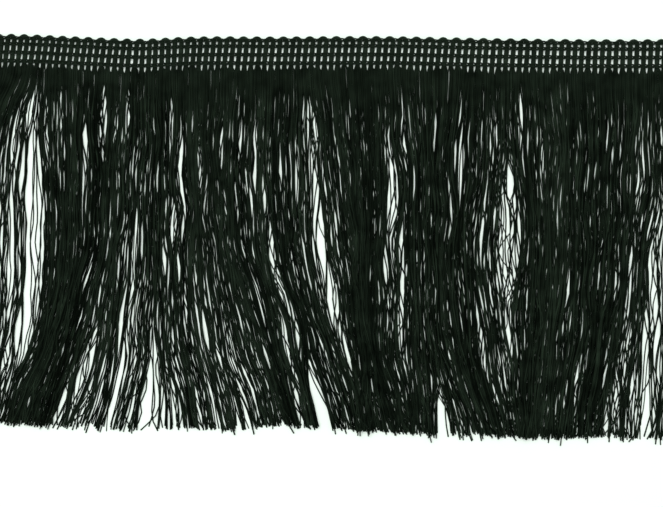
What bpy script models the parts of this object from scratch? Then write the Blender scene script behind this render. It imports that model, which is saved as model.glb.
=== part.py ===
"""Cut yarn fringe trim: a narrow crochet-knitted heading with a skirt of loose yarns, lying flat.

The fringe yarn is laid across the heading in hairpins, whose turns make the scalloped top edge.
Four rows of chain stitch run the length of the heading and hold the hairpins. Below the last row
the yarns are loose and cut to one length, so they part, lean and bunch up as they lie.

Frame: X runs along the trim, +Y from the cut yarn ends to the scalloped edge, +Z up from the
surface that the trim lies on. The origin is at the middle of the outline, on that surface.
Everything is in metres. Run with: blender --background --python part.py
"""

import math
import random
from collections import namedtuple

import bmesh
import bpy
import numpy as np

# ---- Driving sizes -----------------------------------------------------------------------------

HAIRPIN_PITCH = 0.0051  # one hairpin of fringe yarn, two knitted courses, along the heading
HAIRPIN_COUNT = 59  # the length of this cut, in hairpins
CUT_LENGTH = HAIRPIN_COUNT * HAIRPIN_PITCH

EDGE_Y = 0.0774  # the crowns of the scallops, before the heading's own wave
HEADING_WIDTH = 0.0109  # scallop crown to the lower edge of the last chain row
YARN_LENGTH = 0.1417  # a loose yarn in the middle, from the last chain row to its cut end
CUT_SLANT = 0.012  # the cut isn't quite square: how much longer a yarn is, for each unit of X

SCALLOP_RISE = 0.0009  # how far a hairpin's turn stands above the first chain row
SCALLOP_WIDTH = 0.0028
SCALLOP_STEPS = 4

HEADING_THICKNESS = 0.0012
CHAIN_WIDTH = 0.00115
CHAIN_THICKNESS = 0.0006
CHAIN_SIDES = 10
CHAIN_DEPTHS = (0.0016, 0.0039, 0.0071, 0.0103)  # centre of each row below the scallop crowns
SKIRT_THICKNESS = 0.002
PIECE_GAP = 0.0003

WAVE_STEP = 0.0102  # spacing of the points that follow the heading's wave: two hairpins
LINE_STEPS = 24  # straight pieces in the line that a loose yarn follows
RAGGED_STEP = 0.0035  # spacing of the points along the cut ends
RAGGED_DEPTH = 0.0008  # how uneven the cut is, either way
PARTING_STEPS = 9
PARTING_PAST_ENDS = 0.03  # how far an open gap is cut past the ends, as a share of the yarn
RAGGED_SEED = 11

# ---- How this length lies ----------------------------------------------------------------------

# The heading isn't pulled quite straight: how far it lies above its mean line, along its length.
Wave = namedtuple("Wave", "x rise")
HEADING_WAVE = (
    Wave(-0.1505, 0.0010),
    Wave(-0.118, 0.00075),
    Wave(-0.090, -0.00045),
    Wave(-0.073, -0.0010),
    Wave(-0.056, -0.00025),
    Wave(-0.020, -0.00015),
    Wave(0.020, 0.0),
    Wave(0.060, -0.00075),
    Wave(0.105, -0.0012),
    Wave(0.1505, -0.0010),
)

# How far a yarn has moved sideways from its root at each quarter of its length.
Lean = namedtuple("Lean", "root quarter half three_quarters end")
SKIRT_LEAN = (
    Lean(-0.1510, -0.0010, -0.0015, -0.0025, -0.0045),
    Lean(-0.1350, -0.0040, -0.0055, -0.0075, -0.0095),
    Lean(-0.1170, -0.0085, -0.0095, -0.0120, -0.0160),
    Lean(-0.1100, -0.0015, -0.0010, -0.0045, -0.0150),
    Lean(-0.1020, -0.0005, -0.0010, -0.0075, -0.0180),
    Lean(-0.0870, -0.0010, -0.0030, -0.0100, -0.0195),
    Lean(-0.0790, -0.0015, -0.0035, -0.0090, -0.0165),
    Lean(-0.0715, -0.0005, -0.0015, -0.0040, -0.0090),
    Lean(-0.0635, -0.0005, -0.0005, 0.0010, 0.0035),
    Lean(-0.0560, 0.0005, 0.0010, 0.0040, 0.0110),
    Lean(-0.0485, 0.0000, 0.0010, 0.0070, 0.0160),
    Lean(-0.0410, -0.0010, 0.0010, 0.0100, 0.0200),
    Lean(-0.0255, -0.0005, 0.0010, 0.0095, 0.0185),
    Lean(-0.0100, 0.0015, 0.0030, 0.0105, 0.0190),
    Lean(-0.0025, 0.0035, 0.0080, 0.0115, 0.0160),
    Lean(0.0130, 0.0010, 0.0020, 0.0030, 0.0105),
    Lean(0.0280, 0.0015, 0.0025, 0.0025, 0.0080),
    Lean(0.0360, 0.0010, 0.0010, 0.0025, 0.0090),
    Lean(0.0435, -0.0010, -0.0010, 0.0010, 0.0110),
    Lean(0.0585, -0.0015, -0.0030, -0.0010, 0.0075),
    Lean(0.0665, 0.0005, 0.0005, 0.0020, 0.0050),
    Lean(0.0815, 0.0010, 0.0010, -0.0015, -0.0040),
    Lean(0.0970, 0.0010, -0.0010, -0.0025, -0.0070),
    Lean(0.1125, 0.0000, -0.0030, -0.0055, -0.0100),
    Lean(0.1215, 0.0000, -0.0025, -0.0050, -0.0080),
    Lean(0.1290, 0.0005, 0.0005, -0.0015, -0.0045),
    Lean(0.1510, 0.0010, 0.0015, 0.0025, 0.0045),
)

# The widest gaps between the bunches of yarn. start and end are shares of the yarn's length, and
# a gap with its end at 1 is open between the cut ends.
Parting = namedtuple("Parting", "root start end width")
SKIRT_PARTINGS = (
    Parting(-0.1147, 0.36, 0.71, 0.0030),
    Parting(-0.1113, 0.09, 0.88, 0.0044),
    Parting(-0.0731, 0.72, 1.00, 0.0028),
    Parting(-0.0673, 0.73, 1.00, 0.0040),
    Parting(-0.0203, 0.78, 1.00, 0.0040),
    Parting(-0.0080, 0.26, 0.76, 0.0032),
    Parting(0.0228, 0.16, 0.84, 0.0028),
    Parting(0.0352, 0.88, 1.00, 0.0022),
    Parting(0.0640, 0.31, 0.66, 0.0024),
    Parting(0.0687, 0.24, 0.64, 0.0042),
    Parting(0.1184, 0.72, 1.00, 0.0026),
    Parting(0.1255, 0.36, 1.00, 0.0052),
)


# ---- The lines that the pieces follow ----------------------------------------------------------


def smooth(table_x, table_y, x):
    """The table's value at x, on a smooth curve through its rows, which runs straight past its ends."""
    slope = np.gradient(table_y, table_x)
    if x <= table_x[0]:
        return table_y[0] + slope[0] * (x - table_x[0])
    if x >= table_x[-1]:
        return table_y[-1] + slope[-1] * (x - table_x[-1])
    i = int(np.searchsorted(table_x, x)) - 1
    span = table_x[i + 1] - table_x[i]
    t = (x - table_x[i]) / span
    rise = table_y[i + 1] - table_y[i]
    leaving = slope[i] * t * (1 - t) ** 2
    arriving = slope[i + 1] * t * t * (1 - t)
    return table_y[i] + rise * t * t * (3 - 2 * t) + span * (leaving - arriving)


def heading_y(x, depth=0.0):
    """Y of the line that runs along the heading, depth below the crowns of the scallops."""
    rise = smooth([w.x for w in HEADING_WAVE], [w.rise for w in HEADING_WAVE], x)
    return EDGE_Y + rise - depth


def lean_at(root, share):
    """How far the yarn from that root has moved sideways at that share of its length."""
    roots = [row.root for row in SKIRT_LEAN]
    moved = [0.0] + [
        smooth(roots, [getattr(row, column) for row in SKIRT_LEAN], root)
        for column in ("quarter", "half", "three_quarters", "end")
    ]
    return smooth([0.0, 0.25, 0.5, 0.75, 1.0], moved, share)


def yarn_line(root, steps, until=1.0):
    """Points down a yarn, as (x, y) at even steps of its own length, from its root to that share."""
    x, y = root, heading_y(root, HEADING_WIDTH + PIECE_GAP)
    line = [(x, y)]
    piece = (YARN_LENGTH + CUT_SLANT * root) * until / steps
    for step in range(1, steps + 1):
        next_x = root + lean_at(root, until * step / steps)
        y -= math.sqrt(piece**2 - (next_x - x) ** 2)
        x = next_x
        line.append((x, y))
    return line


def yarn_point(root, share):
    """The point at that share of a yarn's length."""
    return yarn_line(root, LINE_STEPS, share)[-1]


# ---- Helpers -----------------------------------------------------------------------------------


def collection(name):
    made = bpy.data.collections.new(name)
    bpy.context.scene.collection.children.link(made)
    return made


def yarn_material(name, colour, roughness):
    material = bpy.data.materials.new(name)
    material.use_nodes = True
    shader = material.node_tree.nodes["Principled BSDF"]
    shader.inputs["Base Color"].default_value = (*colour, 1.0)
    shader.inputs["Roughness"].default_value = roughness
    shader.inputs["Metallic"].default_value = 0.0
    return material


def flat_curve(name, outline, low_z, high_z):
    """A flat piece with that outline, as a filled 2D curve that is extruded both ways."""
    curve = bpy.data.curves.new(name, "CURVE")
    curve.dimensions = "2D"
    curve.fill_mode = "BOTH"
    curve.extrude = (high_z - low_z) / 2
    spline = curve.splines.new("POLY")
    spline.points.add(len(outline) - 1)
    for point, (x, y) in zip(spline.points, outline):
        point.co = (x, y, 0.0, 1.0)
    spline.use_cyclic_u = True
    piece = bpy.data.objects.new(name, curve)
    piece.location.z = (low_z + high_z) / 2
    return piece


def as_mesh(piece, group):
    """The curve object made a welded mesh object of the same name and place, in that collection."""
    group.objects.link(piece)
    bpy.context.view_layer.update()
    graph = bpy.context.evaluated_depsgraph_get()
    mesh = bpy.data.meshes.new_from_object(piece.evaluated_get(graph))
    shell = bmesh.new()
    shell.from_mesh(mesh)
    bmesh.ops.remove_doubles(shell, verts=shell.verts, dist=0.00001)
    bmesh.ops.recalc_face_normals(shell, faces=shell.faces)
    shell.to_mesh(mesh)
    shell.free()
    name, place = piece.name, piece.matrix_world.copy()
    bpy.data.objects.remove(piece)
    mesh.name = name
    made = bpy.data.objects.new(name, mesh)
    made.matrix_world = place
    group.objects.link(made)
    return made


# ---- Heading -----------------------------------------------------------------------------------


def heading_outline():
    """Lower edge from left to right, then the scalloped edge back from right to left."""
    wave_points = round(CUT_LENGTH / WAVE_STEP)
    lower = [
        (x, heading_y(x, HEADING_WIDTH))
        for x in np.linspace(-CUT_LENGTH / 2, CUT_LENGTH / 2, wave_points + 1)
    ]
    upper = []
    for hairpin in reversed(range(HAIRPIN_COUNT)):
        middle = (hairpin + 0.5) * HAIRPIN_PITCH - CUT_LENGTH / 2
        upper.append((middle + HAIRPIN_PITCH / 2, SCALLOP_RISE))
        for step in range(SCALLOP_STEPS + 1):
            angle = math.pi * step / SCALLOP_STEPS
            rise = SCALLOP_RISE * math.sin(angle)
            upper.append((middle + SCALLOP_WIDTH / 2 * math.cos(angle), SCALLOP_RISE - rise))
    upper.append((-CUT_LENGTH / 2, SCALLOP_RISE))
    return lower + [(x, heading_y(x, depth)) for x, depth in upper]


def build_heading_band(group, material):
    """The laid-in fringe yarn of the heading, as one flat band with a scalloped edge."""
    band = as_mesh(flat_curve("heading_band", heading_outline(), 0.0, HEADING_THICKNESS), group)
    band.data.materials.append(material)


def build_chain_section(guides):
    """The flattened round section that every chain row is swept from."""
    curve = bpy.data.curves.new("chain_section", "CURVE")
    curve.dimensions = "2D"
    spline = curve.splines.new("POLY")
    spline.points.add(CHAIN_SIDES - 1)
    for side, point in enumerate(spline.points):
        angle = 2 * math.pi * side / CHAIN_SIDES
        across, up = CHAIN_WIDTH / 2 * math.cos(angle), CHAIN_THICKNESS / 2 * math.sin(angle)
        point.co = (across, up, 0.0, 1.0)
    spline.use_cyclic_u = True
    section = bpy.data.objects.new("chain_section", curve)
    section.hide_render = True
    section.display_type = "WIRE"
    guides.objects.link(section)
    return section


def build_chain_row(number, depth, section, group, material):
    """One row of chain stitch, as a flattened cord that follows the heading's wave."""
    curve = bpy.data.curves.new(f"chain_row_{number}", "CURVE")
    curve.dimensions = "3D"
    curve.bevel_mode = "OBJECT"
    curve.bevel_object = section
    curve.use_fill_caps = True
    spline = curve.splines.new("POLY")
    along = np.linspace(-CUT_LENGTH / 2, CUT_LENGTH / 2, round(CUT_LENGTH / WAVE_STEP) + 1)
    spline.points.add(len(along) - 1)
    middle_z = HEADING_THICKNESS + PIECE_GAP + CHAIN_THICKNESS / 2
    for point, x in zip(spline.points, along):
        point.co = (x, heading_y(x, depth), middle_z, 1.0)
    row = as_mesh(bpy.data.objects.new(curve.name, curve), group)
    row.data.materials.append(material)


# ---- Skirt -------------------------------------------------------------------------------------


def skirt_outline():
    """Down the left yarn, along the ragged cut ends, up the right yarn, and back under the heading."""
    ragged = random.Random(RAGGED_SEED)
    left = yarn_line(-CUT_LENGTH / 2, LINE_STEPS)
    right = yarn_line(CUT_LENGTH / 2, LINE_STEPS)
    ends = []
    for root in np.linspace(-CUT_LENGTH / 2, CUT_LENGTH / 2, round(CUT_LENGTH / RAGGED_STEP))[1:-1]:
        x, y = yarn_point(root, 1.0)
        ends.append((x, y + ragged.uniform(-RAGGED_DEPTH, RAGGED_DEPTH)))
    wave_points = round(CUT_LENGTH / WAVE_STEP)
    top = [
        (x, heading_y(x, HEADING_WIDTH + PIECE_GAP))
        for x in np.linspace(CUT_LENGTH / 2, -CUT_LENGTH / 2, wave_points + 1)[1:-1]
    ]
    return left + ends + right[::-1] + top


def parting_outline(parting):
    """A lens that follows the yarns, or, where it is open at the cut ends, the upper half of one."""
    opened = parting.end >= 1.0
    last = parting.end + (PARTING_PAST_ENDS if opened else 0.0)
    swell = math.pi / 2 if opened else math.pi
    left, right = [], []
    for step in range(PARTING_STEPS + 1):
        way = step / PARTING_STEPS
        x, y = yarn_point(parting.root, parting.start + way * (last - parting.start))
        half = parting.width / 2 * math.sin(way * swell)
        left.append((x - half, y))
        right.append((x + half, y))
    return left + (right[1:] if opened else right[1:-1])[::-1]


def build_skirt(group, cutters, material):
    """All the loose yarns as one comb, whose gaps are cut with the partings."""
    skirt = as_mesh(flat_curve("fringe_skirt", skirt_outline(), 0.0, SKIRT_THICKNESS), group)
    skirt.data.materials.append(material)
    for number, parting in enumerate(SKIRT_PARTINGS, start=1):
        below, above = -SKIRT_THICKNESS, 2 * SKIRT_THICKNESS
        outline = parting_outline(parting)
        cutter = as_mesh(flat_curve(f"parting_{number}", outline, below, above), cutters)
        cutter.hide_render = True
        cutter.display_type = "WIRE"
        gap = skirt.modifiers.new(cutter.name, "BOOLEAN")
        gap.operation = "DIFFERENCE"
        gap.object = cutter


# ---- Building ----------------------------------------------------------------------------------

for leftover in list(bpy.data.objects):
    bpy.data.objects.remove(leftover)

trim = collection("yarn_fringe_trim")
guides = collection("guides_and_cutters")
fringe_black = yarn_material("fringe_yarn_black", (0.008, 0.010, 0.008), 0.55)
chain_black = yarn_material("chain_yarn_black", (0.010, 0.012, 0.010), 0.65)

build_heading_band(trim, fringe_black)
chain_section = build_chain_section(guides)
for row_number, row_depth in enumerate(CHAIN_DEPTHS, start=1):
    build_chain_row(row_number, row_depth, chain_section, trim, chain_black)
build_skirt(trim, guides, fringe_black)
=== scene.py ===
import math
from collections import namedtuple

import bpy
import numpy as np
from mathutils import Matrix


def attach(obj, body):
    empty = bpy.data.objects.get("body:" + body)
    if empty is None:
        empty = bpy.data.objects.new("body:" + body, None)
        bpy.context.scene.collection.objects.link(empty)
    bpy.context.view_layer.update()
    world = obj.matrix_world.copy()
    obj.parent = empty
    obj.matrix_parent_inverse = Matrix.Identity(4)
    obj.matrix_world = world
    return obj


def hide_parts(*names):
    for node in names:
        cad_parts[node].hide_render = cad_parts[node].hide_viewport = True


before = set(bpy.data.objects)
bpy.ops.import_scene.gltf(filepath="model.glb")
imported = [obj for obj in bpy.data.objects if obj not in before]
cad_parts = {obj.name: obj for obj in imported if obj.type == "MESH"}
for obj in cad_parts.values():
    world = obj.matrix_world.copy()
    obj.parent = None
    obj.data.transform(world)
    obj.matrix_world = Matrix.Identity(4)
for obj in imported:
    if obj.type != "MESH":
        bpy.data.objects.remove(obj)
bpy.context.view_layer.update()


# ---- The table, the light and the camera -------------------------------------------------------
# The trim lies on a white table under one large soft lamp, in a white room that fills in the
# shadows. The light is a little green, as office tubes are, and so bright that the open table
# comes out pure white. The camera looks straight down at a place near the middle of the trim.

MM = 0.001
TABLE_SIDE = 12.0
VIEW_WIDTH = 253.7 * MM
VIEW_CENTRE_Y = -5.85 * MM
VIEW_HEIGHT = 1.0 * MM  # the level at which the view is that wide
LENS = 85.0
SENSOR = 36.0
LAMP_DIAMETER = 1.6
LAMP_PLACE = (-0.25, 0.35, 1.9)
LAMP_TURN = (-0.18, -0.13, 0.0)
LAMP_POWER = 32.0
ROOM_BRIGHTNESS = 0.545
TUBE_LIGHT = (0.897, 1.0, 0.93)


def linear(hex_colour):
    """An sRGB hex colour as the linear values that a shader takes."""
    shares = [int(hex_colour[i : i + 2], 16) / 255 for i in (1, 3, 5)]
    return (*(s / 12.92 if s <= 0.04045 else ((s + 0.055) / 1.055) ** 2.4 for s in shares), 1.0)


def add_node(tree, kind, inputs=None, **settings):
    """Adds a node with those settings. An input is a value, or the output that is linked to it."""
    node = tree.nodes.new(kind)
    for name, value in settings.items():
        setattr(node, name, value)
    for name, value in (inputs or {}).items():
        if isinstance(value, bpy.types.NodeSocket):
            tree.links.new(value, node.inputs[name])
        else:
            node.inputs[name].default_value = value
    return node


def new_material(name):
    """An empty material, and its output node."""
    material = bpy.data.materials.new(name)
    material.use_nodes = True
    material.node_tree.nodes.clear()
    return material, add_node(material.node_tree, "ShaderNodeOutputMaterial")


# Matt white paper over the table, smooth to the eye. Its tooth is finer than this and is drawn
# coarse, only to break up the gloss.
paper, paper_end = new_material("matt_white_paper")
tooth = add_node(
    paper.node_tree,
    "ShaderNodeTexNoise",
    {
        "Vector": add_node(paper.node_tree, "ShaderNodeTexCoord").outputs["Object"],
        "Scale": 1 / (1.2 * MM),
        "Detail": 3.0,
    },
)
relief = add_node(
    paper.node_tree,
    "ShaderNodeBump",
    {"Height": tooth.outputs["Fac"], "Strength": 0.1, "Distance": 0.02 * MM},
)
white = add_node(
    paper.node_tree,
    "ShaderNodeBsdfPrincipled",
    {"Base Color": linear("#F5F5F4"), "Roughness": 0.85, "Normal": relief.outputs["Normal"]},
)
paper.node_tree.links.new(white.outputs["BSDF"], paper_end.inputs["Surface"])

bpy.ops.mesh.primitive_plane_add(size=TABLE_SIDE)
table = bpy.context.object
table.name = "table"
table.data.materials.append(paper)

lamp = bpy.data.lights.new("soft_lamp", "AREA")
lamp.shape = "DISK"
lamp.size = LAMP_DIAMETER
lamp.energy = LAMP_POWER
lamp.color = TUBE_LIGHT
lamp_stand = bpy.data.objects.new("soft_lamp", lamp)
lamp_stand.location = LAMP_PLACE
lamp_stand.rotation_euler = LAMP_TURN
bpy.context.scene.collection.objects.link(lamp_stand)

room = bpy.data.worlds.new("white_room")
room.use_nodes = True
room_light = room.node_tree.nodes["Background"]
room_light.inputs["Color"].default_value = (*TUBE_LIGHT, 1.0)
room_light.inputs["Strength"].default_value = ROOM_BRIGHTNESS
bpy.context.scene.world = room
bpy.context.scene.view_settings.view_transform = "Standard"

lens = bpy.data.cameras.new("camera")
lens.lens = LENS
lens.sensor_width = SENSOR
lens.clip_start = 0.01
lens.clip_end = 50.0
camera = bpy.data.objects.new("camera", lens)
camera.location = (0.0, VIEW_CENTRE_Y, VIEW_WIDTH * LENS / SENSOR + VIEW_HEIGHT)
bpy.context.scene.collection.objects.link(camera)
bpy.context.scene.camera = camera


# ---- Heading: the laid-in fringe yarn ----------------------------------------------------------
# Fourteen ends of soft black viscose yarn are laid across the heading together, in hairpins. Each
# turn shows as one scallop of the edge, and each leg is one knitted course. The chain stitches
# nip the legs, which swell between the rows.

COURSE = 2.55 * MM  # one leg of a hairpin
COURSES = 118  # two to a hairpin
TRIM_LENGTH = COURSE * COURSES
CROWN_Y = 77.4 * MM
HEADING_DEPTH = 10.9 * MM
LEG_WIDTH = 1.76 * MM
LEG_THICKNESS = 1.12 * MM

# The heading isn't pulled quite straight. Slide is how far a course has moved along the trim, rise
# is how far it lies above the mean line, and lean is how far its leg has moved sideways by the last
# chain row.
Lie = namedtuple("Lie", "x_mm slide_mm rise_mm lean_mm")
HEADING_LIE = (
    Lie(-151, 0.9, 1.0, -1.15),
    Lie(-118, -0.1, 0.75, -1.15),
    Lie(-90, -1.1, -0.45, -1.10),
    Lie(-73, -1.7, -1.0, -1.00),
    Lie(-56, -2.5, -0.25, -1.15),
    Lie(-20, -2.9, -0.15, -1.15),
    Lie(20, -3.0, 0.0, -1.05),
    Lie(60, -2.8, -0.75, -0.80),
    Lie(105, -1.8, -1.2, -0.55),
    Lie(151, -0.3, -1.0, -0.50),
)

# Down one leg from the middle of the turn. Swell is the size of the bundle's section.
LegPoint = namedtuple("LegPoint", "across_mm depth_mm up_mm swell")
HAIRPIN_LEG = (
    LegPoint(0.00, 0.55, 0.62, 0.62),
    LegPoint(0.55, 0.70, 0.66, 0.65),
    LegPoint(1.02, 1.08, 0.74, 0.72),
    LegPoint(1.22, 1.50, 0.78, 0.80),
    LegPoint(1.28, 2.10, 0.70, 0.88),
    LegPoint(1.27, 2.75, 0.62, 0.97),
    LegPoint(1.27, 3.35, 0.70, 0.90),
    LegPoint(1.27, 3.95, 0.78, 0.82),
    LegPoint(1.27, 4.60, 0.68, 0.92),
    LegPoint(1.27, 5.60, 0.58, 1.00),
    LegPoint(1.27, 6.60, 0.68, 0.92),
    LegPoint(1.27, 7.20, 0.78, 0.82),
    LegPoint(1.27, 7.85, 0.68, 0.92),
    LegPoint(1.27, 8.75, 0.58, 1.00),
    LegPoint(1.27, 9.65, 0.68, 0.92),
    LegPoint(1.27, 10.30, 0.76, 0.84),
    LegPoint(1.27, 10.95, 0.70, 0.80),
)


def smooth(knots, values, at):
    """Values on smooth curves through their knots, along the last axis. They level off past the
    first and the last knot.
    """
    knots, values, at = (np.asarray(part, float) for part in (knots, values, at))
    slopes = np.gradient(values, knots, axis=-1)
    i = np.clip(np.searchsorted(knots, at, side="right") - 1, 0, len(knots) - 2)
    span = knots[i + 1] - knots[i]
    t = np.clip((at - knots[i]) / span, 0.0, 1.0)
    start, end = values[..., i], values[..., i + 1]
    bend = slopes[..., i] * t * (1 - t) ** 2 - slopes[..., i + 1] * t * t * (1 - t)
    return start + (end - start) * t * t * (3 - 2 * t) + span * bend


def heading_place(even_x, depth):
    """Where a leg is at that depth: X, Y and how it is turned. Even X is its place if the heading
    were straight and its courses even.
    """
    stations, slides, rises, leans = np.array(HEADING_LIE).T * MM
    x = even_x + smooth(stations, slides, even_x)
    rise, ahead = smooth(stations, rises, x), smooth(stations, rises, x + MM)
    turn = np.arctan2(ahead - rise, MM) + np.arctan2(smooth(stations, leans, x), HEADING_DEPTH)
    return x + depth * np.sin(turn), CROWN_Y + rise - depth * np.cos(turn), turn


def curve_object(name, points, swells):
    """A single open curve through those points, which a Geometry Nodes tree can lay and sweep."""
    curve = bpy.data.curves.new(name, "CURVE")
    curve.dimensions = "3D"
    spline = curve.splines.new("POLY")
    spline.points.add(len(points) - 1)
    for point, place, swell in zip(spline.points, points, swells):
        point.co = (*place, 1.0)
        point.radius = swell
    return bpy.data.objects.new(name, curve)


def points_object(name, x, y, turns, pitch):
    """Loose points that a Geometry Nodes tree lays a path on. Each has the angle that it is turned
    by, and how far its row is stretched there.
    """
    mesh = bpy.data.meshes.new(name)
    mesh.from_pydata([(*place, 0.0) for place in zip(x, y)], [], [])
    for attribute, values in (("turn", turns), ("stretch", np.gradient(x) / pitch)):
        data = mesh.attributes.new(attribute, "FLOAT", "POINT").data
        data.foreach_set("value", np.float32(values))
    return bpy.data.objects.new(name, mesh)


def new_tree(name, *sockets):
    """A Geometry Nodes tree with those named inputs after its geometry, and its two end nodes."""
    tree = bpy.data.node_groups.new(name, "GeometryNodeTree")
    tree.interface.new_socket("Geometry", in_out="OUTPUT", socket_type="NodeSocketGeometry")
    for socket, kind in (("Geometry", "Geometry"), *sockets):
        tree.interface.new_socket(socket, in_out="INPUT", socket_type=f"NodeSocket{kind}")
    return tree, add_node(tree, "NodeGroupInput"), add_node(tree, "NodeGroupOutput")


def grown(source, tree, name, **inputs):
    """The plain mesh object that the tree makes from the source object, which is then removed."""
    bpy.context.scene.collection.objects.link(source)
    modifier = source.modifiers.new(tree.name, "NODES")
    modifier.node_group = tree
    for socket in tree.interface.items_tree:
        key = socket.name.lower().replace(" ", "_")
        if socket.in_out == "INPUT" and key in inputs:
            modifier[socket.identifier] = inputs[key]
    bpy.context.view_layer.update()
    graph = bpy.context.evaluated_depsgraph_get()
    mesh = bpy.data.meshes.new_from_object(source.evaluated_get(graph))
    bpy.data.objects.remove(source)
    mesh.name = name
    piece = bpy.data.objects.new(name, mesh)
    bpy.context.scene.collection.objects.link(piece)
    return piece


# Lays one path on every point and sweeps it with a bundle of yarns: a flattened round section
# with a groove between each two yarns.
laying, given, laid = new_tree(
    "yarn_laid_along_a_row",
    ("Path", "Object"),
    ("Width", "Float"),
    ("Thickness", "Float"),
    ("Sides", "Int"),
    ("Yarns Around", "Int"),
    ("Groove", "Float"),
    ("Unevenness", "Float"),
    ("Seed", "Int"),
    ("Material", "Material"),
)
path = add_node(laying, "GeometryNodeObjectInfo", {"Object": given.outputs["Path"]})
turned = add_node(laying, "GeometryNodeInputNamedAttribute", {"Name": "turn"}, data_type="FLOAT")
wobble = add_node(
    laying,
    "ShaderNodeMath",
    {0: given.outputs["Unevenness"], 1: -1.0},
    operation="MULTIPLY",
)
jog = add_node(
    laying,
    "FunctionNodeRandomValue",
    {2: wobble.outputs[0], 3: given.outputs["Unevenness"], "Seed": given.outputs["Seed"]},
    data_type="FLOAT",
)
angle = add_node(
    laying,
    "ShaderNodeMath",
    {0: turned.outputs["Attribute"], 1: jog.outputs[1]},
    operation="ADD",
)
around_up = add_node(laying, "ShaderNodeCombineXYZ", {"Z": angle.outputs[0]})
least = add_node(
    laying,
    "ShaderNodeMath",
    {0: 1.0, 1: given.outputs["Unevenness"]},
    operation="SUBTRACT",
)
most = add_node(
    laying,
    "ShaderNodeMath",
    {0: 1.0, 1: given.outputs["Unevenness"]},
    operation="ADD",
)
size = add_node(
    laying,
    "FunctionNodeRandomValue",
    {2: least.outputs[0], 3: most.outputs[0], "Seed": given.outputs["Seed"]},
    data_type="FLOAT",
)
stretch = add_node(
    laying, "GeometryNodeInputNamedAttribute", {"Name": "stretch"}, data_type="FLOAT"
)
length = add_node(
    laying,
    "ShaderNodeMath",
    {0: size.outputs[1], 1: stretch.outputs["Attribute"]},
    operation="MULTIPLY",
)
copy_size = add_node(
    laying,
    "ShaderNodeCombineXYZ",
    {"X": length.outputs[0], "Y": size.outputs[1], "Z": size.outputs[1]},
)
copies = add_node(
    laying,
    "GeometryNodeInstanceOnPoints",
    {
        "Points": given.outputs["Geometry"],
        "Instance": path.outputs["Geometry"],
        "Rotation": around_up.outputs[0],
        "Scale": copy_size.outputs[0],
    },
)
real = add_node(laying, "GeometryNodeRealizeInstances", {"Geometry": copies.outputs["Instances"]})
ring = add_node(
    laying,
    "GeometryNodeCurvePrimitiveCircle",
    {"Resolution": given.outputs["Sides"], "Radius": 1.0},
)
way_round = add_node(laying, "GeometryNodeSplineParameter")
lobe_angle = add_node(
    laying,
    "ShaderNodeMath",
    {0: way_round.outputs["Factor"], 1: given.outputs["Yarns Around"]},
    operation="MULTIPLY",
)
lobe_turn = add_node(
    laying, "ShaderNodeMath", {0: lobe_angle.outputs[0], 1: 2 * math.pi}, operation="MULTIPLY"
)
lobe = add_node(laying, "ShaderNodeMath", {0: lobe_turn.outputs[0]}, operation="COSINE")
lobe_reach = add_node(
    laying,
    "ShaderNodeMath",
    {0: lobe.outputs[0], 1: given.outputs["Groove"], 2: 1.0},
    operation="MULTIPLY_ADD",
)
half_size = add_node(
    laying,
    "ShaderNodeCombineXYZ",
    {"X": given.outputs["Width"], "Y": given.outputs["Thickness"], "Z": 0.0},
)
section_size = add_node(
    laying,
    "ShaderNodeVectorMath",
    {0: half_size.outputs[0], "Scale": lobe_reach.outputs[0]},
    operation="SCALE",
)
ring_place = add_node(laying, "GeometryNodeInputPosition")
section_place = add_node(
    laying,
    "ShaderNodeVectorMath",
    {0: ring_place.outputs[0], 1: section_size.outputs[0]},
    operation="MULTIPLY",
)
section_half = add_node(
    laying,
    "ShaderNodeVectorMath",
    {0: section_place.outputs[0], "Scale": 0.5},
    operation="SCALE",
)
section = add_node(
    laying,
    "GeometryNodeSetPosition",
    {"Geometry": ring.outputs["Curve"], "Position": section_half.outputs[0]},
)
swept = add_node(
    laying,
    "GeometryNodeCurveToMesh",
    {
        "Curve": real.outputs["Geometry"],
        "Profile Curve": section.outputs["Geometry"],
        "Scale": add_node(laying, "GeometryNodeInputRadius").outputs["Radius"],
        "Fill Caps": True,
    },
)
shaded = add_node(laying, "GeometryNodeSetShadeSmooth", {"Geometry": swept.outputs["Mesh"]})
finished = add_node(
    laying,
    "GeometryNodeSetMaterial",
    {"Geometry": shaded.outputs["Geometry"], "Material": given.outputs["Material"]},
)
laying.links.new(finished.outputs["Geometry"], laid.inputs["Geometry"])


# Black viscose yarn, three plies lightly twisted: nearly black and soft. Its colour is painted
# lighter on the crest of each ply and darker in the grooves between them, a painted sheen and
# painted shade that turn with the twist. The dye takes a little unevenly from yarn to yarn and
# along them, and near the heading the yarns' own tone also holds painted light. The loose yarns
# carry how far along and how far round them a point is. The twist is finer than the yarn's section
# shows, so it is drawn as a bump and as painted tone. The fibres are finer still, and their fuzz is
# drawn coarse.
TWIST_PITCH = 2.4 * MM
PLIES = 3
FUZZ = 0.25 * MM
DYE_PATCH = 6 * MM
viscose, viscose_end = new_material("black_viscose_yarn")
tree = viscose.node_tree
where = add_node(tree, "ShaderNodeTexCoord").outputs["Object"]
dye = add_node(
    tree, "ShaderNodeTexNoise", {"Vector": where, "Scale": 1 / DYE_PATCH, "Detail": 2.0}
)
dye_taken = add_node(
    tree, "ShaderNodeMapRange", {"Value": dye.outputs["Fac"], "From Min": 0.1, "From Max": 0.8}
)
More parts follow.
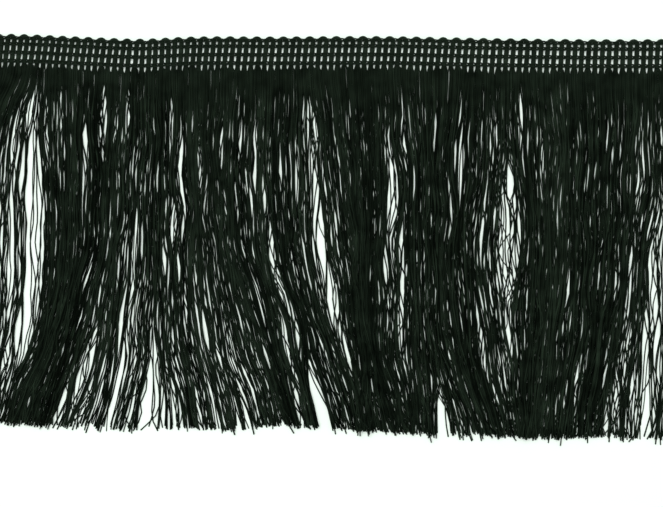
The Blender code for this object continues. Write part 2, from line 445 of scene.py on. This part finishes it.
# Each yarn's own tone, which near the heading also carries painted light.
own_dye_and_painted_light = add_node(tree, "ShaderNodeAttribute", attribute_name="yarn_tone")
dyed_and_painted_light = add_node(
    tree,
    "ShaderNodeMath",
    {0: dye_taken.outputs[0], 1: own_dye_and_painted_light.outputs["Fac"]},
    operation="MULTIPLY",
)
side = add_node(
    tree,
    "ShaderNodeSeparateXYZ",
    {0: add_node(tree, "ShaderNodeAttribute", attribute_name="yarn_side").outputs["Vector"]},
)
round_angle = add_node(
    tree, "ShaderNodeMath", {0: side.outputs["Y"], 1: side.outputs["X"]}, operation="ARCTAN2"
)
ply_angle = add_node(
    tree, "ShaderNodeMath", {0: round_angle.outputs[0], 1: float(PLIES)}, operation="MULTIPLY"
)
along_yarn = add_node(tree, "ShaderNodeAttribute", attribute_name="yarn_along")
twist_angle = add_node(
    tree,
    "ShaderNodeMath",
    {0: along_yarn.outputs["Fac"], 1: PLIES * 2 * math.pi / TWIST_PITCH, 2: ply_angle.outputs[0]},
    operation="MULTIPLY_ADD",
)
plies = add_node(tree, "ShaderNodeMath", {0: twist_angle.outputs[0]}, operation="SINE")
# Painted shade and sheen: the colour is darkened in the grooves between the plies and lightened on
# their crests.
painted_groove_shade = add_node(
    tree, "ShaderNodeMath", {0: plies.outputs[0], 1: 0.4, 2: 0.8}, operation="MULTIPLY_ADD"
)
lightness = add_node(
    tree, "ShaderNodeMath", {0: dyed_and_painted_light.outputs[0], 1: painted_groove_shade.outputs[0]}, operation="MULTIPLY"
)
tone = add_node(
    tree,
    "ShaderNodeMix",
    {"Factor": lightness.outputs[0], 6: linear("#020402"), 7: linear("#2F3A2F")},
    data_type="RGBA",
)
twist_bump = add_node(
    tree,
    "ShaderNodeBump",
    {"Height": plies.outputs[0], "Strength": 0.6, "Distance": 0.03 * MM},
)
fibres = add_node(
    tree, "ShaderNodeTexNoise", {"Vector": where, "Scale": 1 / FUZZ, "Detail": 2.0}
)
fuzz = add_node(
    tree,
    "ShaderNodeBump",
    {
        "Height": fibres.outputs["Fac"],
        "Strength": 0.5,
        "Distance": 0.08 * MM,
        "Normal": twist_bump.outputs["Normal"],
    },
)
yarn_shader = add_node(
    tree,
    "ShaderNodeBsdfPrincipled",
    {
        "Base Color": tone.outputs[2],
        "Roughness": 0.5,
        "IOR": 1.47,
        "Specular IOR Level": 0.02,
        "Normal": fuzz.outputs["Normal"],
    },
)
tree.links.new(yarn_shader.outputs["BSDF"], viscose_end.inputs["Surface"])

leg = [[p.across_mm * MM, -p.depth_mm * MM, p.up_mm * MM, p.swell] for p in HAIRPIN_LEG]
other_leg = [[-across, *rest] for across, *rest in leg[:0:-1]]
HAIRPIN_STEPS = 41
LAID_IN_TONE = 0.75
knots = np.linspace(0, 1, 2 * len(leg) - 1)
hairpin_line = smooth(knots, np.array(other_leg + leg).T, np.linspace(0, 1, HAIRPIN_STEPS)).T
hairpin = curve_object("hairpin_line", hairpin_line[:, :3], hairpin_line[:, 3])

even_x = -TRIM_LENGTH / 2 + COURSE * np.arange(COURSES)
edge_x, edge_y, edge_turn = heading_place(even_x[1::2], 0.0)
crowns = points_object("crowns", edge_x, edge_y, edge_turn, 2 * COURSE)
heading_weft = grown(
    crowns,
    laying,
    "heading_weft",
    path=hairpin,
    width=LEG_WIDTH,
    thickness=LEG_THICKNESS,
    sides=24,
    yarns_around=8,
    groove=0.09,
    unevenness=0.012,
    seed=3,
    material=viscose,
)
bpy.data.objects.remove(hairpin)
tones = heading_weft.data.attributes.new("yarn_tone", "FLOAT", "POINT")
tones.data.foreach_set("value", np.full(len(tones.data), np.float32(LAID_IN_TONE)))
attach(heading_weft, "root")
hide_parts("heading_band")


# ---- Heading: the chain stitches ---------------------------------------------------------------
# Four fine black polyester threads are chain-stitched along the heading, one stitch to a course.
# A stitch comes up between two legs, lies over the next leg as an open loop, and goes back down
# through the same gap to run on behind.

THREAD = 0.58 * MM

# Where the rows lie below the crowns, and how wide their stitches are drawn open.
ChainRow = namedtuple("ChainRow", "depth_mm open")
CHAIN_ROWS = (
    ChainRow(1.62, 0.90),
    ChainRow(3.87, 1.05),
    ChainRow(7.12, 1.08),
    ChainRow(10.38, 1.15),
)

# One stitch, from the middle of the float behind one leg to the middle of the next. Along is in
# courses from the gap where the stitch comes up.
StitchPoint = namedtuple("StitchPoint", "along across_mm up_mm")
CHAIN_STITCH = (
    StitchPoint(-0.54, 0.00, 0.28),
    StitchPoint(-0.28, -0.04, 0.28),
    StitchPoint(-0.08, -0.14, 0.42),
    StitchPoint(0.00, -0.24, 0.80),
    StitchPoint(0.10, -0.36, 1.24),
    StitchPoint(0.30, -0.47, 1.44),
    StitchPoint(0.55, -0.51, 1.48),
    StitchPoint(0.85, -0.47, 1.38),
    StitchPoint(1.08, -0.32, 1.18),
    StitchPoint(1.17, 0.00, 1.06),
    StitchPoint(1.08, 0.32, 1.18),
    StitchPoint(0.85, 0.47, 1.38),
    StitchPoint(0.55, 0.51, 1.48),
    StitchPoint(0.30, 0.47, 1.44),
    StitchPoint(0.10, 0.36, 1.24),
    StitchPoint(0.02, 0.24, 0.80),
    StitchPoint(0.08, 0.10, 0.42),
    StitchPoint(0.28, 0.02, 0.28),
    StitchPoint(0.54, 0.00, 0.28),
)

# Black polyester thread, tightly twisted and dyed in the fibre: matt and even. Its twist is drawn
# as a grain, a little coarser than it is.
polyester, polyester_end = new_material("black_polyester_thread")
tree = polyester.node_tree
twist = add_node(
    tree,
    "ShaderNodeTexNoise",
    {
        "Vector": add_node(tree, "ShaderNodeTexCoord").outputs["Object"],
        "Scale": 1 / (0.2 * MM),
        "Detail": 1.0,
    },
)
twist_relief = add_node(
    tree,
    "ShaderNodeBump",
    {"Height": twist.outputs["Fac"], "Strength": 0.5, "Distance": 0.06 * MM},
)
thread_shader = add_node(
    tree,
    "ShaderNodeBsdfPrincipled",
    {
        "Base Color": linear("#151D15"),
        "Roughness": 0.7,
        "IOR": 1.58,
        "Specular IOR Level": 0.05,
        "Normal": twist_relief.outputs["Normal"],
    },
)
tree.links.new(thread_shader.outputs["BSDF"], polyester_end.inputs["Surface"])

stitch_knots = np.linspace(0, 1, len(CHAIN_STITCH))
stitch_points = [(p.along * COURSE, p.across_mm * MM, p.up_mm * MM) for p in CHAIN_STITCH]
STITCH_STEPS = 23
stitch_line = smooth(stitch_knots, np.array(stitch_points).T, np.linspace(0, 1, STITCH_STEPS)).T
for number, row in enumerate(CHAIN_ROWS, start=1):
    stitch = curve_object("stitch_line", stitch_line * [1, row.open, 1], np.ones(STITCH_STEPS))
    row_x, row_y, _ = heading_place(even_x, row.depth_mm * MM)
    row_turn = np.arctan2(np.gradient(row_y), np.gradient(row_x))
    gaps = points_object("gaps", row_x, row_y, row_turn, COURSE)
    chain = grown(
        gaps,
        laying,
        f"chain_{number}",
        path=stitch,
        width=THREAD,
        thickness=THREAD,
        sides=5,
        yarns_around=1,
        groove=0.0,
        unevenness=0.03,
        seed=10 + number,
        material=polyester,
    )
    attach(chain, "root")
    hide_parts(f"chain_row_{number}")
    bpy.data.objects.remove(stitch)


# ---- The loose yarns ---------------------------------------------------------------------------
# Below the last chain row the fourteen viscose yarns of each leg are loose, and fan out to cover
# the surface. Three or four of them cling together in a strand, and the strands lie across each
# other, part, lean and bunch up towards the ends, which are cut to one length.

YARNS_PER_LEG = 14
STRANDS_PER_LEG = 4
YARN = 0.438 * MM
ROOT_DEPTH = 10.5 * MM
LOOSE_LENGTH = 142.1 * MM
FAN_START = 0.2 * MM
FAN_END = (2.2 * MM, 4.4 * MM)  # each leg fans out at its own depth
SQUEEZE = 0.5  # how far yarns that cross stay apart, as a share of their thickness
LYING_SEED = 121

# In a leg the yarns lie four abreast, in four layers pressed together.
ABREAST = 4
ABREAST_PITCH = 0.42 * MM
LAYER_PITCH = 0.18 * MM
LEG_MIDDLE_HEIGHT = 0.76 * MM
ROOT_SPREAD = 0.1 * MM

# How far from side to side the yarns wander with all those near them, with those of their layer,
# with their strand, and by themselves. Shares are of all the yarns.
NEARBY_WANDER = 0.52 * MM
LAYER_WANDER = 0.31 * MM
STRAND_WANDER = 0.10 * MM
OWN_WANDER = 0.33 * MM
OWN_WANDER_GROWTH = 0.18 * MM
CLINGING = 0.23
LYING_ACROSS_SHARE = 0.08
LYING_ACROSS_BY = 2.3 * MM
SINGLE_SHARE = 0.11

# How far beside a gap the yarns are pushed, and how far one gone astray reaches over it.
PUSH_REACH = 0.92 * MM
PUSH_REACH_PER_WIDTH = 0.82
ASTRAY_REACH = 1.9 * MM

# How ragged the cut is, and the share of yarns that were missed and are longer.
CUT_SPREAD = 0.75 * MM
CUT_SPREAD_LIMIT = 1.6 * MM
LONG_SHARE = 0.06
LONGER_BY = (0.8 * MM, 2.6 * MM)

# How far a yarn has moved sideways from its root, in millimetres, at each quarter of its length.
Lean = namedtuple("Lean", "root_mm quarter half three_quarters end")
SKIRT_LEAN = (
    Lean(-151, -1.0, -1.5, -2.5, -4.5),
    Lean(-135, -4.0, -5.5, -7.5, -9.5),
    Lean(-117, -8.5, -9.5, -12.0, -16.0),
    Lean(-110, -1.5, -1.0, -4.5, -15.0),
    Lean(-102, -0.5, -1.0, -7.5, -18.0),
    Lean(-87, -1.0, -3.0, -10.0, -19.5),
    Lean(-79, -1.5, -3.5, -9.0, -16.5),
    Lean(-71.5, -0.5, -1.5, -4.0, -9.0),
    Lean(-63.5, -0.5, -0.5, 1.0, 3.5),
    Lean(-56, 0.5, 1.0, 4.0, 11.0),
    Lean(-48.5, 0.0, 1.0, 7.0, 16.0),
    Lean(-41, -1.0, 1.0, 10.0, 20.0),
    Lean(-25.5, -0.5, 1.0, 9.5, 18.5),
    Lean(-10, 1.5, 3.0, 10.5, 19.0),
    Lean(-2.5, 3.5, 8.0, 11.5, 16.0),
    Lean(13, 1.0, 2.0, 3.0, 10.5),
    Lean(28, 1.5, 2.5, 2.5, 8.0),
    Lean(36, 1.0, 1.0, 2.5, 9.0),
    Lean(43.5, -1.0, -1.0, 1.0, 11.0),
    Lean(58.5, -1.5, -3.0, -1.0, 7.5),
    Lean(66.5, 0.5, 0.5, 2.0, 5.0),
    Lean(81.5, 1.0, 1.0, -1.5, -4.0),
    Lean(97, 1.0, -1.0, -2.5, -7.0),
    Lean(112.5, 0.0, -3.0, -5.5, -10.0),
    Lean(121.5, 0.0, -2.5, -5.0, -8.0),
    Lean(129, 0.5, 0.5, -1.5, -4.5),
    Lean(151, 1.0, 1.5, 2.5, 4.5),
)

# The gaps between the bunches of yarn, and where along the trim the middle of each one lies. Start
# and end are shares of the yarn's length, and a gap that ends at 1 is open between the cut ends.
# Astray is the share of the yarns beside it that cut across it all the same. Each gap pushes
# aside those above it, so most of the wide ones come late.
Parting = namedtuple("Parting", "x_mm start end width_mm astray")
PARTINGS = (
    Parting(-125.1, 0.41, 0.58, 2.6, 0.30),
    Parting(-108.3, 0.56, 0.70, 1.9, 0.30),
    Parting(-99.2, 0.05, 0.24, 1.4, 0.20),
    Parting(-94.8, 0.14, 0.50, 2.1, 0.30),
    Parting(-95.0, 0.46, 0.72, 1.7, 0.30),
    Parting(-74.6, 0.37, 0.58, 2.0, 0.20),
    Parting(-63.7, 0.88, 1.00, 2.9, 0.20),
    Parting(-50.3, 0.17, 0.37, 2.1, 0.20),
    Parting(-42.3, 0.12, 0.34, 1.9, 0.20),
    Parting(-35.0, 0.12, 0.32, 1.8, 0.20),
    Parting(-61.0, 0.07, 0.30, 2.2, 0.20),
    Parting(-58.7, 0.47, 0.62, 1.9, 0.20),
    Parting(-58.2, 0.11, 0.48, 2.1, 0.30),
    Parting(-51.5, 0.88, 1.00, 2.0, 0.20),
    Parting(-47.8, 0.64, 0.82, 1.5, 0.20),
    Parting(-36.2, 0.28, 0.48, 1.9, 0.20),
    Parting(-34.0, 0.86, 1.00, 3.0, 0.20),
    Parting(-29.6, 0.14, 0.36, 2.1, 0.30),
    Parting(-26.0, 0.24, 0.48, 1.5, 0.20),
    Parting(-22.5, 0.38, 0.66, 2.8, 0.20),
    Parting(-19.5, 0.19, 0.36, 1.3, 0.20),
    Parting(-13.8, 0.60, 0.84, 2.7, 0.20),
    Parting(-9.0, 0.06, 0.34, 2.3, 0.30),
    Parting(-12.8, 0.16, 0.42, 2.7, 0.30),
    Parting(-17.2, 0.60, 0.92, 2.9, 0.30),
    Parting(28.3, 0.13, 0.32, 1.9, 0.20),
    Parting(39.4, 0.10, 0.27, 1.4, 0.20),
    Parting(-3.4, 0.20, 0.44, 2.7, 0.30),
    Parting(49.2, 0.09, 0.44, 1.7, 0.20),
    Parting(45.9, 0.28, 0.50, 1.6, 0.20),
    Parting(72.3, 0.05, 0.24, 2.1, 0.20),
    Parting(90.3, 0.49, 0.68, 1.4, 0.20),
    Parting(94.0, 0.76, 0.96, 2.4, 0.20),
    Parting(58.0, 0.69, 0.83, 2.4, 0.20),
    Parting(103.0, 0.42, 0.68, 1.8, 0.30),
    Parting(114.4, 0.46, 0.74, 2.3, 0.30),
    Parting(6.5, 0.70, 0.86, 2.2, 0.20),
    Parting(113.9, 0.76, 0.88, 2.9, 0.20),
    Parting(118.0, 0.09, 0.45, 3.4, 0.30),
    Parting(-117.4, 0.18, 0.42, 3.1, 0.40),
    Parting(-119.8, 0.08, 0.36, 2.7, 0.40),
    Parting(-124.4, 0.76, 0.90, 3.2, 0.30),
    Parting(-114.0, 0.55, 0.84, 3.6, 0.30),
    Parting(-102.8, 0.84, 1.00, 4.0, 0.20),
    Parting(-94.8, 0.86, 1.00, 4.0, 0.20),
    Parting(-88.8, 0.83, 1.00, 3.4, 0.30),
    Parting(-95.2, 0.70, 0.97, 5.0, 0.08),
    Parting(-87.6, 0.05, 0.28, 3.8, 0.30),
    Parting(-80.7, 0.72, 1.00, 3.9, 0.30),
    Parting(-81.1, 0.58, 0.84, 1.4, 0.40),
    Parting(-66.0, 0.81, 1.00, 4.5, 0.20),
    Parting(-61.0, 0.80, 1.00, 4.6, 0.30),
    Parting(-60.8, 0.36, 0.52, 3.2, 0.20),
    Parting(-45.7, 0.82, 1.00, 2.5, 0.20),
    Parting(-37.7, 0.81, 1.00, 2.5, 0.20),
    Parting(-7.2, 0.10, 0.42, 3.4, 0.30),
    Parting(-4.3, 0.26, 0.66, 4.3, 0.35),
    Parting(0.4, 0.52, 0.76, 3.8, 0.30),
    Parting(23.0, 0.32, 0.64, 4.4, 0.40),
    Parting(27.2, 0.40, 0.88, 4.0, 0.40),
    Parting(23.9, 0.16, 0.48, 4.2, 0.30),
    Parting(64.2, 0.31, 0.66, 4.6, 0.45),
    Parting(67.0, 0.50, 0.80, 3.4, 0.40),
    Parting(66.6, 0.36, 0.64, 4.8, 0.55),
    Parting(69.6, 0.24, 0.64, 6.6, 0.20),
    Parting(111.4, 0.72, 1.00, 8.2, 0.35),
    Parting(42.4, 0.88, 1.00, 5.5, 0.10),
    Parting(-5.5, 0.78, 1.00, 6.0, 0.00),
    Parting(-119.2, 0.64, 0.82, 3.4, 0.40),
    Parting(-121.8, 0.36, 0.71, 4.8, 0.55),
    Parting(-113.4, 0.09, 0.88, 7.8, 0.22),
    Parting(-69.0, 0.73, 1.00, 7.8, 0.15),
    Parting(124.6, 0.36, 0.80, 6.4, 0.35),
    Parting(118.8, 0.60, 1.00, 9.0, 0.45),
    Parting(123.5, 0.66, 1.00, 10.5, 0.40),
    Parting(-109.6, 0.10, 0.28, 2.3, 0.30),
    Parting(-103.5, 0.06, 0.20, 1.9, 0.30),
    Parting(-94.3, 0.12, 0.27, 2.2, 0.30),
    Parting(-83.0, 0.10, 0.24, 2.0, 0.30),
    Parting(-77.9, 0.07, 0.20, 2.2, 0.30),
    Parting(-63.5, 0.47, 0.60, 1.8, 0.20),
    Parting(20.9, 0.46, 0.64, 2.4, 0.20),
    Parting(112.5, 0.66, 0.92, 4.0, 0.30),
    Parting(105.5, 0.86, 1.00, 3.0, 0.20),
    Parting(-12.8, 0.84, 1.00, 3.0, 0.20),
    Parting(-18.2, 0.54, 0.72, 2.4, 0.20),
    Parting(-6.0, 0.10, 0.26, 2.6, 0.30),
    Parting(68.4, 0.24, 0.40, 2.8, 0.30),
    Parting(-116.5, 0.07, 0.22, 2.6, 0.30),
)

# The line that the ends are cut along.
CutPoint = namedtuple("CutPoint", "x_mm y_mm")
CUT_LINE = (
    CutPoint(-151, -71.0),
    CutPoint(-122, -70.3),
    CutPoint(-112, -70.8),
    CutPoint(-100, -71.8),
    CutPoint(-90, -72.2),
    CutPoint(-80, -73.4),
    CutPoint(-70, -72.9),
    CutPoint(-60, -72.4),
    CutPoint(-45, -72.8),
    CutPoint(-32, -72.9),
    CutPoint(-22, -71.2),
    CutPoint(-12, -71.5),
    CutPoint(-2, -72.0),
    CutPoint(8, -73.0),
    CutPoint(27, -73.9),
    CutPoint(37, -74.9),
    CutPoint(57, -74.7),
    CutPoint(67, -75.3),
    CutPoint(77, -76.0),
    CutPoint(97, -75.6),
    CutPoint(108, -75.8),
    CutPoint(120, -76.4),
    CutPoint(151, -76.3),
)

# Points along each yarn as millimetres from its root, close together where it fans out. Along is
# the same as shares of its length.
NEAR_ROOT = [0.0, 0.7, 1.4, 2.2, 3.2, 4.6, 6.4, 8.8]
FURTHER_ON = np.linspace(11.8, 142.3, 34)
along = np.concatenate([NEAR_ROOT, FURTHER_ON]) / FURTHER_ON[-1]
steps = len(along)

rng = np.random.default_rng(LYING_SEED)
leg_number = np.repeat(np.arange(COURSES), YARNS_PER_LEG)
count = len(leg_number)
leg_x, leg_y, _ = heading_place(even_x + COURSE / 2, ROOT_DEPTH)
leg_x, leg_y = leg_x[leg_number], leg_y[leg_number]

# Each yarn has a slot in its leg, and fanned out the slots are spread evenly over a course.
slot_number = rng.permuted(np.tile(np.arange(YARNS_PER_LEG), (COURSES, 1)), axis=1).ravel()
strand = leg_number * STRANDS_PER_LEG + slot_number * STRANDS_PER_LEG // YARNS_PER_LEG
middle_slot = (ABREAST - 1) / 2
in_leg_x = (slot_number % ABREAST - middle_slot) * ABREAST_PITCH
in_leg_z = LEG_MIDDLE_HEIGHT + (slot_number // ABREAST - middle_slot) * LAYER_PITCH
fanned_x = ((slot_number + 0.5) / YARNS_PER_LEG - 0.5) * COURSE + rng.normal(0, ROOT_SPREAD, count)
root_x = leg_x + fanned_x


def ramp(start, end):
    """For the points along a yarn: 0 up to the share start, rising to 1 at the share end."""
    return np.clip((along - start) / (end - start), 0, 1)


def lean_from(roots):
    """How far yarns with those roots have moved sideways at each point along them."""
    leans = [[0.0] * len(SKIRT_LEAN)] + [
        [getattr(row, column) * MM for row in SKIRT_LEAN]
        for column in ("quarter", "half", "three_quarters", "end")
    ]
    at_quarters = smooth([row.root_mm * MM for row in SKIRT_LEAN], leans, roots).T
    return smooth([0, 0.25, 0.5, 0.75, 1], at_quarters, along)


def noise_field(roots, root_wave, share_wave):
    """Smooth noise over the skirt, alike for yarns whose roots are near each other. The waves are
    so long from root to root, and such a share of the yarns' length down them.
    """
    root_knots = np.arange(roots.min() - root_wave, roots.max() + 2 * root_wave, root_wave)
    share_knots = np.linspace(0, 1, max(3, round(1 / share_wave) + 1))
    grid = rng.normal(0, 1, (len(share_knots), len(root_knots)))
    return smooth(share_knots, smooth(root_knots, grid, roots).T, along)


def wander(number, knots):
    """A smooth path from side to side for each of so many yarns or strands."""
    return smooth(np.linspace(0, 1, knots), rng.normal(0, 1, (number, knots)), along)


# Yarns that lie near each other wander together, all of them by the same field and each of two
# layers by one more. So do those of a strand, which also draw together, and each yarn wanders a
# little by itself, most of all at its cut end. Single yarns have left their strand, and a few lie
# across the others.
moved = lean_from(root_x) * ramp(0, 0.1)
loosened = ramp(0.045, 0.2) ** 1.7
moved = moved + NEARBY_WANDER * loosened * noise_field(root_x, 7.3 * MM, 0.10)
upper = rng.integers(0, 2, count)[:, None] == 1
lower_way, upper_way = (noise_field(root_x, 2.2 * MM, 0.15) for _ in range(2))
moved = moved + LAYER_WANDER * loosened * np.where(upper, upper_way, lower_way)
lies_across = (rng.random(count) < LYING_ACROSS_SHARE)[:, None]
single = (rng.random(count) < SINGLE_SHARE)[:, None]
strand_way = wander(COURSES * STRANDS_PER_LEG, 14) * STRAND_WANDER * loosened
strand_x = np.bincount(strand, fanned_x) / np.bincount(strand)
clinging = (strand_x[strand] - fanned_x)[:, None] * CLINGING * ramp(0.02, 0.17)
with_strand = strand_way[strand] + clinging
moved = moved + np.where(single | lies_across, 0.4 * strand_way[strand], with_strand)
own_way = wander(count, 17)
own_size = (OWN_WANDER + OWN_WANDER_GROWTH * along) * ramp(0.038, 0.16)
own_size = own_size * (1 + 0.6 * ramp(0.85, 1))
moved = moved + own_way * own_size * np.where(lies_across, 2.0, np.where(single, 1.4, 1.0))
moved = moved + lies_across * rng.normal(0, LYING_ACROSS_BY, (count, 1)) * along**1.3

# A parting runs the way that the yarns about it do. The yarns on each side of it stay on their own
# side and are pushed away, the nearest furthest. Yarns that lie across the others cut over it, and
# so do those that have gone astray, but none do so where astray is 0.
for parting in PARTINGS:
    way = ramp(parting.start, parting.end)
    opening = np.sin(way * (math.pi / 2 if parting.end >= 1 else math.pi))
    middle = np.searchsorted(along, (parting.start + parting.end) / 2)
    lies_at = root_x[:, None] + moved
    beside = lies_at[:, middle] - parting.x_mm * MM
    bend = lies_at[np.abs(beside) < 3 * MM].mean(axis=0)
    side = np.sign(beside)[:, None]
    clear = side * (lies_at - parting.x_mm * MM - (bend - bend[middle]))
    reach = PUSH_REACH + PUSH_REACH_PER_WIDTH * parting.width_mm * MM
    near = np.exp(-np.maximum(clear, 0) / reach) * parting.width_mm / 2 * MM
    pushed = near * rng.uniform(0.8, 1.05, (count, 1)) + np.maximum(-clear, 0)
    crossing = np.minimum(near, ASTRAY_REACH)
    cuts_over = crossing * smooth([0, 0.5, 1], rng.uniform(-1.6, 1.6, (count, 3)), way)
    goes_over = lies_across & (parting.astray > 0)
    astray = (rng.random((count, 1)) < parting.astray) | goes_over
    moved = moved + side * opening * np.where(astray, cuts_over, pushed)

# From its place in the leg each yarn comes down to its place in the skirt.
fan_end = rng.uniform(*FAN_END, COURSES)[leg_number][:, None]
out = np.clip((along * LOOSE_LENGTH - FAN_START) / (fan_end - FAN_START), 0, 1)
out = out * out * (3 - 2 * out)
yarn_x = leg_x[:, None] + in_leg_x[:, None] * (1 - out) + fanned_x[:, None] * out + moved

# Each yarn is cut where it crosses the cut line, give or take a millimetre. A few are longer.
# Where a yarn runs aslant, it comes down less for each millimetre of its length.
cut_y = smooth([c.x_mm * MM for c in CUT_LINE], [c.y_mm * MM for c in CUT_LINE], yarn_x[:, -1])
cut_y = cut_y - rng.normal(0, CUT_SPREAD, count).clip(-CUT_SPREAD_LIMIT, CUT_SPREAD_LIMIT)
cut_y = cut_y - (rng.random(count) < LONG_SHARE) * rng.uniform(*LONGER_BY, count)
spans = np.diff(along) * LOOSE_LENGTH
falls = np.sqrt(np.maximum(spans**2 - np.diff(yarn_x, axis=1) ** 2, (0.2 * spans) ** 2))
falls = np.concatenate([np.zeros((count, 1)), np.cumsum(falls, axis=1)], axis=1)
yarn_y = leg_y[:, None] - falls * ((leg_y - cut_y) / falls[:, -1])[:, None]
thickness = YARN * rng.normal(1.0, 0.09, count).clip(0.7, 1.35)

# The yarns are laid one at a time, in no order, and each rests on those that it lies over. It is
# too stiff to follow every one of them, so its heights are evened out.
yarn_z = np.zeros((count, steps))
laid_x = np.zeros((count, steps))
laid_z = np.zeros((count, steps))
for place, yarn in enumerate(rng.permutation(count)):
    aside = laid_x[:place] - yarn_x[yarn]
    over = np.sqrt(np.maximum(YARN**2 - aside**2, 0.0))
    rests_at = np.where(over > 0, laid_z[:place] + over * SQUEEZE, 0.0)
    height = rests_at.max(axis=0, initial=thickness[yarn] / 2)
    eased = np.convolve(np.pad(height, 1, mode="edge"), [0.25, 0.5, 0.25], mode="valid")
    height = np.maximum(eased, height - 0.1 * MM)
    laid_x[place] = yarn_x[yarn]
    laid_z[place] = height
    yarn_z[yarn] = height
yarn_z = in_leg_z[:, None] * (1 - out) + yarn_z * out

# Sweeps every line with a round yarn, which keeps the angle round its section for the twist.
sweeping, given, swept_out = new_tree("loose_yarns", ("Sides", "Int"), ("Material", "Material"))
lines = add_node(sweeping, "GeometryNodeMeshToCurve", {"Mesh": given.outputs["Geometry"]})
radius = add_node(
    sweeping, "GeometryNodeInputNamedAttribute", {"Name": "yarn_radius"}, data_type="FLOAT"
)
round_section = add_node(
    sweeping,
    "GeometryNodeCurvePrimitiveCircle",
    {"Resolution": given.outputs["Sides"], "Radius": 1.0},
)
marked = add_node(
    sweeping,
    "GeometryNodeStoreNamedAttribute",
    {
        "Geometry": round_section.outputs["Curve"],
        "Name": "yarn_side",
        "Value": add_node(sweeping, "GeometryNodeInputPosition").outputs[0],
    },
    data_type="FLOAT_VECTOR",
    domain="POINT",
)
tubes = add_node(
    sweeping,
    "GeometryNodeCurveToMesh",
    {
        "Curve": lines.outputs["Curve"],
        "Profile Curve": marked.outputs["Geometry"],
        "Scale": radius.outputs["Attribute"],
        "Fill Caps": True,
    },
)
soft = add_node(sweeping, "GeometryNodeSetShadeSmooth", {"Geometry": tubes.outputs["Mesh"]})
whole = add_node(sweeping, "GeometryNodeRealizeInstances", {"Geometry": soft.outputs["Geometry"]})
coloured = add_node(
    sweeping,
    "GeometryNodeSetMaterial",
    {"Geometry": whole.outputs["Geometry"], "Material": given.outputs["Material"]},
)
sweeping.links.new(coloured.outputs["Geometry"], swept_out.inputs["Geometry"])

# The section has five sides, so it is drawn a little larger to look as wide as a round one. Near
# the heading, where the yarns are still pressed flat and catch the light evenly, their tones are
# drawn together and lifted a little: painted light.
YARN_SIDES = 5
ROUNDED = 1.07
PAINTED_LIGHT_TONE_NEAR_HEADING = 0.6
SKIRT_PARTS = 5
frayed = 1 + 0.14 * ramp(0.985, 1)
yarn_radius = thickness[:, None] / 2 * ROUNDED * frayed * (1 + 0.04 * own_way.clip(-2, 2))
# Painted light: near the heading the yarns' own tones fade towards one lighter tone.
painted_light_near_heading = 1 - ramp(0.03, 0.13)
own_tone = rng.random((count, 1))
yarn_tone = own_tone + (PAINTED_LIGHT_TONE_NEAR_HEADING - own_tone) * 0.75 * painted_light_near_heading
for part, yarns in enumerate(np.array_split(np.arange(count), SKIRT_PARTS), start=1):
    places = np.stack([yarn_x[yarns], yarn_y[yarns], yarn_z[yarns]], axis=2).reshape(-1, 3)
    first = np.arange(len(places)).reshape(len(yarns), steps)
    edges = np.stack([first[:, :-1], first[:, 1:]], axis=2).reshape(-1, 2)
    mesh = bpy.data.meshes.new("yarn_lines")
    mesh.from_pydata(places.tolist(), edges.tolist(), [])
    for name, values in (
        ("yarn_radius", yarn_radius[yarns]),
        ("yarn_along", np.tile(along * LOOSE_LENGTH, (len(yarns), 1))),
        ("yarn_tone", yarn_tone[yarns]),
    ):
        attribute = mesh.attributes.new(name, "FLOAT", "POINT")
        attribute.data.foreach_set("value", np.float32(values.ravel()))
    piece = grown(
        bpy.data.objects.new("yarn_lines", mesh),
        sweeping,
        f"loose_yarns_{part}",
        sides=YARN_SIDES,
        material=viscose,
    )
    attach(piece, "root")
    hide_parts("fringe_skirt")
